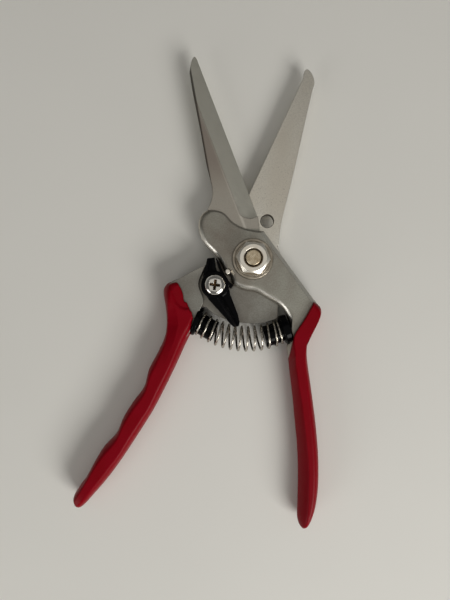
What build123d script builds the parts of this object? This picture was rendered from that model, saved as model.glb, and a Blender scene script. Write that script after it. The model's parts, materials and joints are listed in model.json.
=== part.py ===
"""Bypass shears with two straight, narrow blades, a coil return spring and a thumb latch.

Millimetres, +Z up. The origin is on the pivot axis, at the flat face of the pivot bolt's head that the
shears lie on. +Y points between the open blades and +X to the right, so the blades and handles lie in XY.
The upper half has the left blade and the right handle, the lower half the right blade and the left handle.
The model stands with the handles sprung fully open.
"""

from build123d import *
import math
import os

# Heights above the face that the shears rest on
GRIP_THICK = 12.0
SHEAR_Z = GRIP_THICK / 2
SHEAR_GAP = 0.05
UPPER_LOW = SHEAR_Z + SHEAR_GAP
LOWER_HIGH = SHEAR_Z - SHEAR_GAP
CORE_LOW = 2.0
CORE_TOP = GRIP_THICK - CORE_LOW
BLADE_THICK = 2.9

# Blades: a straight cutting edge, and a flat ground bevel of constant width beside it
UPPER_EDGE = [(2.3, 17.6), (-22.3, 81.6)]
LOWER_EDGE = [(-5.5, 17.9), (21.2, 75.2)]
BEVEL_WIDTH = 6.9
EDGE_THICK = 0.35
HANG_HOLE = (6.3, 16.1)
HANG_HOLE_R = 2.75

# Plates round the pivot
HUB_R = 12.75
RIM_ROUNDING = 2.4
STEP_ROUNDING = 0.8
SIDE_BEVEL = 1.4
LOWER_HUB_R = 12.0
WEB_R = 26.5
WEB_SWELL = [(WEB_R, 254.0), (27.0, 246.0), (27.4, 238.0), (27.6, 232.0)]
WEB_FOOT = (-19.1, -19.7)
WEB_SIDE_X = 10.7
HANDLE_CLEAR_R = 29.2

# Pivot fastener
BOLT_R = 4.0
BOLT_HEAD_R = 8.0
BOLT_HEAD_CHAMFER = 0.5
BOLT_END_R = 3.05
BOLT_END_RISE = 0.3
BOLT_END_CHAMFER = 0.3
BORE_CLEARANCE = 0.05
WASHER_CLEARANCE = 0.1
WASHER_R = 8.3
WASHER_THICK = 0.9
WASHER_CHAMFER = 0.25
CONE_WASHER_R = 7.2
CONE_WASHER_THICK = 0.9
CONE_WASHER_CHAMFER = 0.35
NUT_ACROSS_FLATS = 12.0
NUT_HEIGHT = 4.4
NUT_CHAMFER_R = 5.3
NUT_CHAMFER_DEG = 30.0
NUT_BORE_CHAMFER = 0.85
NUT_TURN_DEG = -6.0
WASHER_LOW = CORE_TOP
CONE_WASHER_LOW = WASHER_LOW + WASHER_THICK
NUT_LOW = CONE_WASHER_LOW + CONE_WASHER_THICK
NUT_TOP = NUT_LOW + NUT_HEIGHT

# Latch and its catch
LATCH_AXIS = (-15.2, -10.7)
LATCH_BOSS_R = 5.7
LATCH_LOW = CORE_TOP + 0.3
LATCH_BOSS_TOP = 13.0
LATCH_TAB_TOP = 12.5
LATCH_ARM_LOW = 11.9
LATCH_ARM_TOP = 14.0
LATCH_PLAY = 0.05
LATCH_HEAD_PLAY = 0.25
LATCH_SCREW_R = 2.0
LATCH_HEAD_R = 4.1
LATCH_HEAD_THICK = 2.1
LATCH_HEAD_ROUNDING = 1.5
RECESS_LENGTH = 4.8
RECESS_WIDTH = 1.15
RECESS_DEPTH = 1.4
RECESS_TURN_DEG = -8.0
LATCH_WASHER_R = 4.0
GUARD_R = 13.1
GUARD_INNER_R = 14.9
GUARD_HORN_DEG = (234.0, 215.0, 196.0)
GUARD_PLATE_R = 5.2
GUARD_TOP = 9.6
CATCH_PIN_AT = (-10.1, -5.3)
CATCH_PIN_R = 1.05
CATCH_PIN_LOW = UPPER_LOW + 0.6
CATCH_PIN_TOP = 13.0
CATCH_PIN_CHAMFER = 0.3

# Return spring, coiled round an arc between two plastic seats
SPRING_CENTRE = (-2.1, -1.0)
SPRING_LINE_R = 31.8
SPRING_R = 5.0
SPRING_SLEEVE = 0.15
SPRING_END_GAP_DEG = 3.2
LEFT_SEAT_DEG = 231.5
RIGHT_SEAT_DEG = 296.9
LEFT_FLANGE_DEG = -22.0
RIGHT_FLANGE_DEG = 199.0
SEAT_R = 6.1
LEFT_SEAT_THICK = 2.2
RIGHT_SEAT_THICK = 3.4
SEAT_ROUNDING = 0.9
SEAT_FLAT = 0.2
PLUG_R = 4.3
PLUG_LENGTH = 7.7
WEB_CLEARANCE = 0.4

# Grips
GRIP_ROUNDING = 0.7
GRIP_SLANT_REACH = 4.3
GRIP_WALL_REACH = 1.7


def polar(radius, degrees, centre=(0, 0)):
    """The point at a radius and an angle from a centre."""
    turn = math.radians(degrees)
    return (centre[0] + radius * math.cos(turn), centre[1] + radius * math.sin(turn))


def slab(edges, low, high):
    """A plate between two heights, inside a closed run of edges."""
    return Pos(0, 0, low) * extrude(make_face(edges), high - low)


def rod(centre, radius, low, high):
    """An upright cylinder between two heights."""
    return Pos(centre[0], centre[1], (low + high) / 2) * Cylinder(radius, high - low)


def ring(outer_r, inner_r, low, high, centre=(0, 0)):
    """A flat ring between two heights."""
    return rod(centre, outer_r, low, high) - rod(centre, inner_r, low - 1, high + 1)


def edges_at(solid, height, test):
    """The edges that lie flat at a height and whose middle passes a test."""
    flat = [
        edge
        for edge in solid.edges()
        if abs(edge.bounding_box().min.Z - height) < 1e-4
        and abs(edge.bounding_box().max.Z - height) < 1e-4
    ]
    return [edge for edge in flat if test(edge @ 0.5)]


def prism(start, end, corners, length=90):
    """A bar along a line, with corners at distances to the left of the line and heights."""
    start = Vector(*start)
    along = (Vector(*end) - start).normalized()
    left = Vector(-along.Y, along.X)
    points = [(start.X + left.X * inboard, start.Y + left.Y * inboard, height) for inboard, height in corners]
    return extrude(make_face(Polyline(*points, points[0])), amount=length, dir=along)


def ground_bevel(edge, face_z, left, up):
    """The wedge that grinding takes off a blade, from EDGE_THICK at the cutting edge to BLADE_THICK inboard.

    left is +1 where the blade lies to the left of its edge, and up is +1 where it lies above its flat face.
    """
    reach = 9.0
    slope = (BLADE_THICK - EDGE_THICK) / BEVEL_WIDTH

    def height(inboard):
        return face_z + up * (EDGE_THICK + inboard * slope)

    out, far = -reach, BEVEL_WIDTH + reach
    return prism(*edge, [(left * out, height(out)), (left * far, height(far)), (left * out, height(far))])


def slanted_sides(shift):
    """What the slant takes off the inner side of the right handle, above and below its middle.

    The slant rises from the middle of the inner side to the ridge along the top. shift moves it inwards.
    """
    runs = [((16.4, -32.2), (20.6, -58.0), 26.5), ((20.5, -57.0), (23.3, -96.0), 60.0)]
    slope = SHEAR_Z / GRIP_SLANT_REACH
    near, far = 1.0, -9.0
    cuts = []
    for start, end, length in runs:
        for up in (1, -1):
            corners = [(near, near), (far, far), (far, near)]
            profile = [(x - shift, SHEAR_Z + up * (SHEAR_Z + rise * slope)) for x, rise in corners]
            cuts.append(prism(start, end, profile, length))
    return cuts


# ---------------------------------------------------------------- upper half

UPPER_SIDE = [(4.6, 11.4), (25.0, -16.5)]
UPPER_CORE_OUTER = [
    (25.0, -16.5), (26.7, -20.0), (26.2, -22.4), (23.6, -26.2), (21.5, -30.6), (21.0, -36.0),
    (21.5, -41.0), (24.5, -64.0), (25.8, -80.0), (26.0, -92.0), (24.7, -101.5), (22.9, -106.6),
]
UPPER_CORE_INNER = [
    (20.5, -106.4), (20.1, -96.0), (19.9, -83.0), (18.4, -64.0), (16.6, -49.0), (15.0, -41.5), (13.4, -36.6),
]
UPPER_SEAT_WALL = [(15.8, -31.0), (15.6, -34.4)]


def upper_blade():
    """The left blade, flat underneath and ground along its right side down to a curved run-out."""
    tip = Spline(UPPER_EDGE[1], (-23.9, 84.0), (-25.3, 80.4), (-25.7, 76.2))
    spine = Spline((-25.7, 76.2), (-20.2, 46.9), (-18.5, 37.7), (-16.7, 24.2), (-18.4, 20.6))
    root = Polyline((-18.4, 20.6), (-12.0, 12.0), (3.0, 10.0), UPPER_EDGE[0])
    blade = slab([tip, spine, root, Line(*UPPER_EDGE)], UPPER_LOW, UPPER_LOW + BLADE_THICK)
    run_out = Spline((-7.6, 23.2), (-5.6, 18.6), (-2.6, 16.9), (3.6, 17.9))
    ground = [run_out, Polyline((3.6, 17.9), (0, 95), (-40, 95), (-40, 23.2), (-7.6, 23.2))]
    return blade - (ground_bevel(UPPER_EDGE, UPPER_LOW, 1, 1) & slab(ground, UPPER_LOW, CORE_TOP))


def upper_outline():
    """The plate round the pivot and the right handle's core, as one closed run of edges."""
    step = Spline(
        (4.6, 11.4), (-0.9, 11.9), (-4.7, 13.1), (-8.6, 15.5), (-11.6, 18.6), (-15.0, 19.8), (-19.4, 19.7)
    )
    ear = Spline(
        (-19.4, 19.7), (-22.0, 15.6), (-21.9, 11.8), (-19.3, 6.0), (-14.7, 1.2), (-12.4, -2.6), (-11.7, -4.4)
    )
    notch = Polyline((-11.7, -4.4), (-9.7, -5.4), (-9.1, -6.2), polar(HUB_R, 230.0))
    hub = CenterArc((0, 0), HUB_R, 230.0, 36.0)
    flare = Spline(
        polar(HUB_R, 266.0), (6.2, -15.8), (12.0, -19.6), (14.7, -24.4), UPPER_SEAT_WALL[0],
        tangents=[Vector(1, -0.08), Vector(0.1, -1)],
    )
    seat_wall = Polyline(*UPPER_SEAT_WALL, UPPER_CORE_INNER[-1])
    inner = Spline(*UPPER_CORE_INNER)
    tail = Spline(UPPER_CORE_OUTER[-1], (21.7, -108.2), UPPER_CORE_INNER[0])
    outer = Spline(*UPPER_CORE_OUTER)
    side = Line(*UPPER_SIDE)
    return [step, ear, notch, hub, flare, seat_wall, inner, tail, outer, side]


def on_upper_rim(p):
    """True on the plate's inner side: the ear, the hub and the flare down to the spring's seat."""
    return -25 < p.Y < 12 and p.X < 13 and p.length > HUB_R - 0.1


def on_blade_step(p):
    """True where the plate steps down to its blade."""
    return p.Y > 11 and p.X < 4


def upper_half():
    """The left blade, the plate round the pivot and the right handle's core, forged in one piece."""
    plate = slab(upper_outline(), UPPER_LOW, CORE_TOP)
    plate = fillet(edges_at(plate, CORE_TOP, on_upper_rim), RIM_ROUNDING)
    plate = fillet(edges_at(plate, CORE_TOP, on_blade_step), STEP_ROUNDING)
    above, drop = 1.0, SIDE_BEVEL / 2
    side = [(drop, CORE_TOP - 2 * drop), (drop, CORE_TOP + above), (-SIDE_BEVEL, CORE_TOP)]
    plate -= prism(*UPPER_SIDE, side)
    handle = slab(upper_outline(), CORE_LOW, UPPER_LOW) - rod((0, 0), HANDLE_CLEAR_R, 0, GRIP_THICK)
    half = plate + handle + upper_blade() - slanted_sides(-GRIP_WALL_REACH)
    half -= rod((0, 0), BOLT_R + BORE_CLEARANCE, 0, GRIP_THICK)
    return half - rod(CATCH_PIN_AT, CATCH_PIN_R, CATCH_PIN_LOW, GRIP_THICK)


# ---------------------------------------------------------------- lower half

LOWER_CORE_OUTER = [
    (-30.3, -8.2), (-34.2, -10.8), (-35.1, -13.4), (-34.0, -22.0), (-34.6, -30.5),
    (-42.6, -50.5), (-53.4, -69.8), (-64.0, -84.2), (-71.4, -96.8),
]
LOWER_CORE_INNER = [
    (-70.6, -99.9), (-58.8, -87.0), (-47.5, -70.4), (-37.4, -53.0), (-28.9, -35.0), (-26.2, -30.8),
]
LOWER_SEAT_TOP = (-20.9, -19.6)
LOWER_ARM_CORNER = (-25.6, -5.6)
LOWER_RECESS = [(-18.8, -2.2), (-20.9, -6.4), (-22.0, -10.9), (-20.4, -15.3), LOWER_SEAT_TOP]


def lower_handle_edges():
    """The left handle's core, from the arm's upper edge round its end to the top of the spring's seat."""
    outer = Spline(*LOWER_CORE_OUTER)
    tail = Spline(LOWER_CORE_OUTER[-1], (-72.0, -99.0), LOWER_CORE_INNER[0])
    inner = Spline(*LOWER_CORE_INNER)
    seat_wall = Line(LOWER_CORE_INNER[-1], LOWER_SEAT_TOP)
    return [outer, tail, inner, seat_wall]


def lower_blade():
    """The right blade, flat on top and ground underneath along its left side."""
    tip = Spline(LOWER_EDGE[1], (23.4, 79.0), (25.2, 76.6), (25.5, 72.0))
    spine = Spline((25.5, 72.0), (23.2, 62.4), (19.0, 43.6), (14.6, 25.3), (12.0, 14.2), (11.2, 6.0))
    root = Polyline((11.2, 6.0), (-8.0, 6.0), LOWER_EDGE[0])
    blade = slab([Line(*LOWER_EDGE), tip, spine, root], LOWER_HIGH - BLADE_THICK, LOWER_HIGH)
    return blade - ground_bevel(LOWER_EDGE, LOWER_HIGH, -1, -1)


def lower_plate():
    """The plate round the pivot, with the fan-shaped web that backs the latch and the spring."""
    side_deg = -math.degrees(math.acos(WEB_SIDE_X / LOWER_HUB_R))
    end_deg = -math.degrees(math.acos(WEB_SIDE_X / WEB_R))
    hub = CenterArc((0, 0), LOWER_HUB_R, side_deg, 180.0 - side_deg)
    side = Line(polar(LOWER_HUB_R, side_deg), polar(WEB_R, end_deg))
    swell_deg = WEB_SWELL[0][1]
    web = CenterArc((0, 0), WEB_R, swell_deg, end_deg + 360.0 - swell_deg)
    swell = Spline(*(polar(radius, degrees) for radius, degrees in WEB_SWELL))
    foot = Polyline(polar(*WEB_SWELL[-1]), WEB_FOOT, LOWER_SEAT_TOP)
    arm = Polyline((-LOWER_HUB_R, 0), (-19.4, -2.5), LOWER_ARM_CORNER, LOWER_CORE_OUTER[0])
    return slab([hub, side, web, swell, foot, arm] + lower_handle_edges(), CORE_LOW, LOWER_HIGH)


def lower_half():
    """The right blade, the plate round the pivot and the left handle's core, forged in one piece."""
    recess = Spline(*LOWER_RECESS)
    arm = Polyline(LOWER_RECESS[0], LOWER_ARM_CORNER, LOWER_CORE_OUTER[0])
    handle = slab([recess, arm] + lower_handle_edges(), LOWER_HIGH, CORE_TOP)
    half = lower_plate() + handle + lower_blade()
    half -= rod((0, 0), BOLT_R + BORE_CLEARANCE, 0, GRIP_THICK)
    half -= rod(HANG_HOLE, HANG_HOLE_R, 0, GRIP_THICK)
    return half - rod(LATCH_AXIS, LATCH_SCREW_R, 0, GRIP_THICK)


# ---------------------------------------------------------------- grips

RIGHT_GRIP_TOP = [(25.4, -16.8), (21.5, -23.6), (17.3, -29.6), (16.6, -33.0), (15.0, -41.2)]
RIGHT_GRIP_SIDES = [
    (15.0, -41.2), (15.8, -49.0), (17.4, -64.0), (18.9, -82.0), (18.7, -102.0), (19.2, -108.5), (21.0, -111.0),
    (23.6, -108.6), (25.9, -102.5), (27.3, -94.0), (27.4, -84.0), (25.8, -64.0), (22.9, -41.0),
    (22.5, -33.5), (25.2, -27.0), (28.4, -21.4), (27.6, -18.2), (25.4, -16.8),
]
LEFT_GRIP_TOP = [(-30.4, -9.2), (-28.0, -17.4), (-24.4, -22.4), (-26.4, -31.0)]
LEFT_GRIP_SIDES = [
    (-26.4, -31.0), (-31.0, -42.3), (-41.0, -62.4), (-51.7, -79.1), (-64.4, -95.9), (-69.6, -102.0),
    (-72.4, -102.4), (-73.9, -99.0), (-72.0, -94.6), (-68.0, -89.0), (-63.9, -81.0), (-55.9, -71.4),
    (-50.0, -59.6), (-44.6, -52.4), (-41.6, -42.6), (-35.8, -31.0), (-35.4, -21.4), (-36.6, -12.4),
    (-34.2, -9.3), (-30.4, -9.2),
]


def grip(top, sides):
    """A dipped plastic sleeve of full thickness, rounded along its sides, with no hollow for the core."""
    sleeve = slab([Polyline(*top), Spline(*sides)], 0, GRIP_THICK)
    long = [edge for edge in sleeve.edges() if edge.length > 100]
    return fillet(long, GRIP_ROUNDING)


# ---------------------------------------------------------------- pivot fastener


def hexagon(across_flats, low, high, turn):
    """A hexagonal bar between two heights."""
    face = RegularPolygon(across_flats / 2, 6, major_radius=False, rotation=turn)
    return Pos(0, 0, low) * extrude(face, high - low)


def nut_cone(low, high):
    """The cone that a nut's outer corners are turned down to."""
    reach = 20.0
    foot = high - (reach - NUT_CHAMFER_R) * math.tan(math.radians(NUT_CHAMFER_DEG))
    corners = [(0, low), (reach, low), (reach, foot), (NUT_CHAMFER_R, high), (0, high), (0, low)]
    return revolve(make_face(Polyline(*((radius, 0, height) for radius, height in corners))), Axis.Z)


def top_circles(solid):
    """The circular edges of a solid's top face, from the smallest to the largest."""
    return solid.edges().filter_by(GeomType.CIRCLE).group_by(Axis.Z)[-1].sort_by(SortBy.RADIUS)


def pivot_bolt():
    """A low round head underneath, a plain shank through both halves and a turned-down threaded end."""
    head = rod((0, 0), BOLT_HEAD_R, 0, CORE_LOW - SHEAR_GAP)
    head = chamfer(head.edges().group_by(Axis.Z)[0], BOLT_HEAD_CHAMFER)
    shank = rod((0, 0), BOLT_R, CORE_LOW - SHEAR_GAP, WASHER_LOW)
    end = rod((0, 0), BOLT_END_R, WASHER_LOW, NUT_TOP + BOLT_END_RISE)
    return head + shank + chamfer(top_circles(end), BOLT_END_CHAMFER)


def pivot_washer():
    """A plain washer under the disc spring."""
    washer = ring(WASHER_R, BOLT_END_R + WASHER_CLEARANCE, WASHER_LOW, CONE_WASHER_LOW)
    return chamfer(top_circles(washer)[-1:], WASHER_CHAMFER)


def pivot_cone_washer():
    """A shallow disc spring that keeps the nut tight."""
    washer = ring(CONE_WASHER_R, BOLT_END_R + WASHER_CLEARANCE, CONE_WASHER_LOW, NUT_LOW)
    return chamfer(top_circles(washer)[-1:], CONE_WASHER_CHAMFER)


def pivot_nut():
    """A hexagon nut with turned corners and a countersunk thread."""
    nut = hexagon(NUT_ACROSS_FLATS, NUT_LOW, NUT_TOP, NUT_TURN_DEG) & nut_cone(NUT_LOW, NUT_TOP)
    nut -= rod((0, 0), BOLT_END_R, NUT_LOW - 1, NUT_TOP + 1)
    return chamfer(top_circles(nut)[:1], NUT_BORE_CHAMFER)


# ---------------------------------------------------------------- latch


def latch_guard():
    """A thin plate under the lever, with two horns that follow the hub."""
    first, middle, last = (polar(GUARD_R, degrees) for degrees in GUARD_HORN_DEG)
    start = polar(GUARD_INNER_R, GUARD_HORN_DEG[0])
    tip = [(-14.5, 0.3), (-15.0, 0.3)]
    inner = Spline(tip[1], (-14.2, -2.4), (-13.2, -5.2), (-11.5, -8.8), start)
    outer = Spline(first, middle, last, tip[0])
    horns = [inner, Line(start, first), outer, Line(*tip)]
    plate = rod(LATCH_AXIS, GUARD_PLATE_R, LOWER_HIGH, GUARD_TOP) + slab(horns, LOWER_HIGH, GUARD_TOP)
    return plate - rod(LATCH_AXIS, LATCH_SCREW_R, 0, GRIP_THICK)


def latch_lever():
    """The thumb lever: a round boss, a tab whose end props up the catch pin, and a long tail."""
    boss = rod(LATCH_AXIS, LATCH_BOSS_R, LATCH_LOW, LATCH_BOSS_TOP)
    tab = Polyline((-18.0, 0.1), (-15.6, 0.5), (-14.3, -6.0), (-20.0, -7.5), (-19.6, -3.4), (-18.7, -2.4),
                   (-18.0, 0.1))
    tail = Polyline((-18.9, -15.2), (-10.4, -24.6), (-8.5, -27.1), (-6.7, -27.7), (-5.2, -26.6), (-5.9, -22.6),
                    (-7.7, -18.0), (-9.8, -12.6), (-18.9, -15.2))
    lever = boss + slab([tab], LATCH_LOW, LATCH_TAB_TOP) + slab([tail], LATCH_ARM_LOW, LATCH_ARM_TOP)
    lever -= rod(LATCH_AXIS, LATCH_HEAD_R + LATCH_HEAD_PLAY, LATCH_BOSS_TOP, LATCH_ARM_TOP + 1)
    return lever - rod(LATCH_AXIS, LATCH_SCREW_R + LATCH_PLAY, 0, LATCH_ARM_TOP + 1)


def latch_washer():
    """A spacer that lifts the lever clear of the plate."""
    return ring(LATCH_WASHER_R, LATCH_SCREW_R + LATCH_PLAY, GUARD_TOP, LATCH_LOW - LATCH_PLAY, LATCH_AXIS)


def latch_screw():
    """A pan-head screw with a cross recess, threaded into the lower half."""
    low = LATCH_BOSS_TOP + LATCH_PLAY
    top = low + LATCH_HEAD_THICK
    head = fillet(top_circles(rod(LATCH_AXIS, LATCH_HEAD_R, low, top)), LATCH_HEAD_ROUNDING)
    screw = head + rod(LATCH_AXIS, LATCH_SCREW_R, CORE_LOW, low)
    for turn in (RECESS_TURN_DEG, RECESS_TURN_DEG + 90):
        arm = Rot(0, 0, turn) * Box(RECESS_LENGTH, RECESS_WIDTH, 2 * RECESS_DEPTH)
        screw -= Pos(*LATCH_AXIS, top) * arm
    return screw


def catch_pin():
    """The pin beside the hub's notch that the latch props up when the blades are closed."""
    pin = rod(CATCH_PIN_AT, CATCH_PIN_R, CATCH_PIN_LOW, CATCH_PIN_TOP)
    return chamfer(top_circles(pin), CATCH_PIN_CHAMFER)


# ---------------------------------------------------------------- return spring


def arc_tube(radius, start_deg, end_deg):
    """A round bar bent along the spring's line between two angles."""
    start = polar(SPRING_LINE_R, start_deg, SPRING_CENTRE)
    across = math.radians(start_deg)
    plane = Plane(
        origin=(start[0], start[1], SHEAR_Z),
        x_dir=(math.cos(across), math.sin(across), 0),
        z_dir=(-math.sin(across), math.cos(across), 0),
    )
    axis = Axis((SPRING_CENTRE[0], SPRING_CENTRE[1], 0), (0, 0, 1))
    return revolve(plane * Circle(radius), axis, end_deg - start_deg)


def seat(at_deg, flange_deg, thick, towards):
    """A moulded seat: a round flange against the handle, cut flat above and below, and a plug in the coils."""
    at = polar(SPRING_LINE_R, at_deg, SPRING_CENTRE)
    facing = math.radians(flange_deg)
    plane = Plane(origin=(at[0], at[1], SHEAR_Z), z_dir=(math.cos(facing), math.sin(facing), 0))
    flange = plane * Pos(0, 0, -thick / 2) * Cylinder(SEAT_R, thick)
    flange = fillet(flange.edges().filter_by(GeomType.CIRCLE), SEAT_ROUNDING)
    flange &= rod(at, 2 * SEAT_R, SEAT_FLAT, GRIP_THICK - SEAT_FLAT)
    end_deg = at_deg + towards * math.degrees(PLUG_LENGTH / SPRING_LINE_R)
    start_deg = at_deg - towards
    return flange + arc_tube(PLUG_R, min(start_deg, end_deg), max(start_deg, end_deg))


def left_spring_seat(lower):
    """The seat on the left handle."""
    return seat(LEFT_SEAT_DEG, LEFT_FLANGE_DEG, LEFT_SEAT_THICK, 1) - lower


def right_spring_seat(upper):
    """The seat on the right handle, cut away where the lower half's web sweeps past it."""
    sweep = rod((0, 0), WEB_R + WEB_CLEARANCE, 0, SHEAR_Z + WEB_CLEARANCE)
    return seat(RIGHT_SEAT_DEG, RIGHT_FLANGE_DEG, RIGHT_SEAT_THICK, -1) - upper - sweep


def return_spring():
    """The spring's coils as a thin sleeve of the same mean diameter, bent along the spring's line."""
    first, last = LEFT_SEAT_DEG + SPRING_END_GAP_DEG, RIGHT_SEAT_DEG - SPRING_END_GAP_DEG
    sleeve = arc_tube(SPRING_R + SPRING_SLEEVE, first, last)
    return sleeve - arc_tube(SPRING_R - SPRING_SLEEVE, first - 1, last + 1)


def build():
    """Every piece, by name."""
    upper = upper_half()
    lower = lower_half()
    return {
        "upper_half": upper,
        "lower_half": lower,
        "right_grip": grip(RIGHT_GRIP_TOP, RIGHT_GRIP_SIDES) - slanted_sides(0) - upper,
        "left_grip": grip(LEFT_GRIP_TOP, LEFT_GRIP_SIDES) - lower,
        "pivot_bolt": pivot_bolt(),
        "pivot_washer": pivot_washer(),
        "pivot_cone_washer": pivot_cone_washer(),
        "pivot_nut": pivot_nut(),
        "latch_guard": latch_guard(),
        "latch_washer": latch_washer(),
        "latch_lever": latch_lever(),
        "latch_screw": latch_screw(),
        "catch_pin": catch_pin(),
        "left_spring_seat": left_spring_seat(lower),
        "right_spring_seat": right_spring_seat(upper),
        "return_spring": return_spring(),
    }


os.makedirs("parts", exist_ok=True)
for name, shape in build().items():
    export_step(shape, f"parts/{name}.step")
    print(name, round(shape.volume, 1), len(shape.solids()), shape.is_valid)
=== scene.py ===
"""Looks for the bypass shears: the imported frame, detailed grips and spring, materials, light and camera."""

import json
import math

import bmesh
import bpy
import numpy as np
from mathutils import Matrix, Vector


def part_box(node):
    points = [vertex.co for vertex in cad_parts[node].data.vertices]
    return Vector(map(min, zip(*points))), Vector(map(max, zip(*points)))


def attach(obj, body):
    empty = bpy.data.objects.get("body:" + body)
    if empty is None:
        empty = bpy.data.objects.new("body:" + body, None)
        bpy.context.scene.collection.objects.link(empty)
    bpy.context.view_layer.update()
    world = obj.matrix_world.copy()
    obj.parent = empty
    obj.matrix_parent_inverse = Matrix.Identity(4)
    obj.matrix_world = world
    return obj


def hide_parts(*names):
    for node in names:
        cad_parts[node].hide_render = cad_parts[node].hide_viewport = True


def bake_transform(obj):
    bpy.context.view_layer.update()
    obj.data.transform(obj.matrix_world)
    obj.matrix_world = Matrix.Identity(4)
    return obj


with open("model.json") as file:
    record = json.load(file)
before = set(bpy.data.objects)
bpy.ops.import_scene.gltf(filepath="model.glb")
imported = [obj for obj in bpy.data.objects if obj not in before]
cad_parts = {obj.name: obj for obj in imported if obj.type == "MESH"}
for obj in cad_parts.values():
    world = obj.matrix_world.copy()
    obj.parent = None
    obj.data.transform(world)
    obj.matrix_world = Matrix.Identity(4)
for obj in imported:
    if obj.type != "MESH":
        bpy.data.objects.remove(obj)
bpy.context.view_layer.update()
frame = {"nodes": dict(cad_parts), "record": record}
nodes = frame["nodes"]
MM = 0.001

GRIP_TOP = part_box("right_grip")[1].z
MID_Z = GRIP_TOP / 2
UP = (0, 0, 1)


# ---------------------------------------------------------------- building a shader


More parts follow.
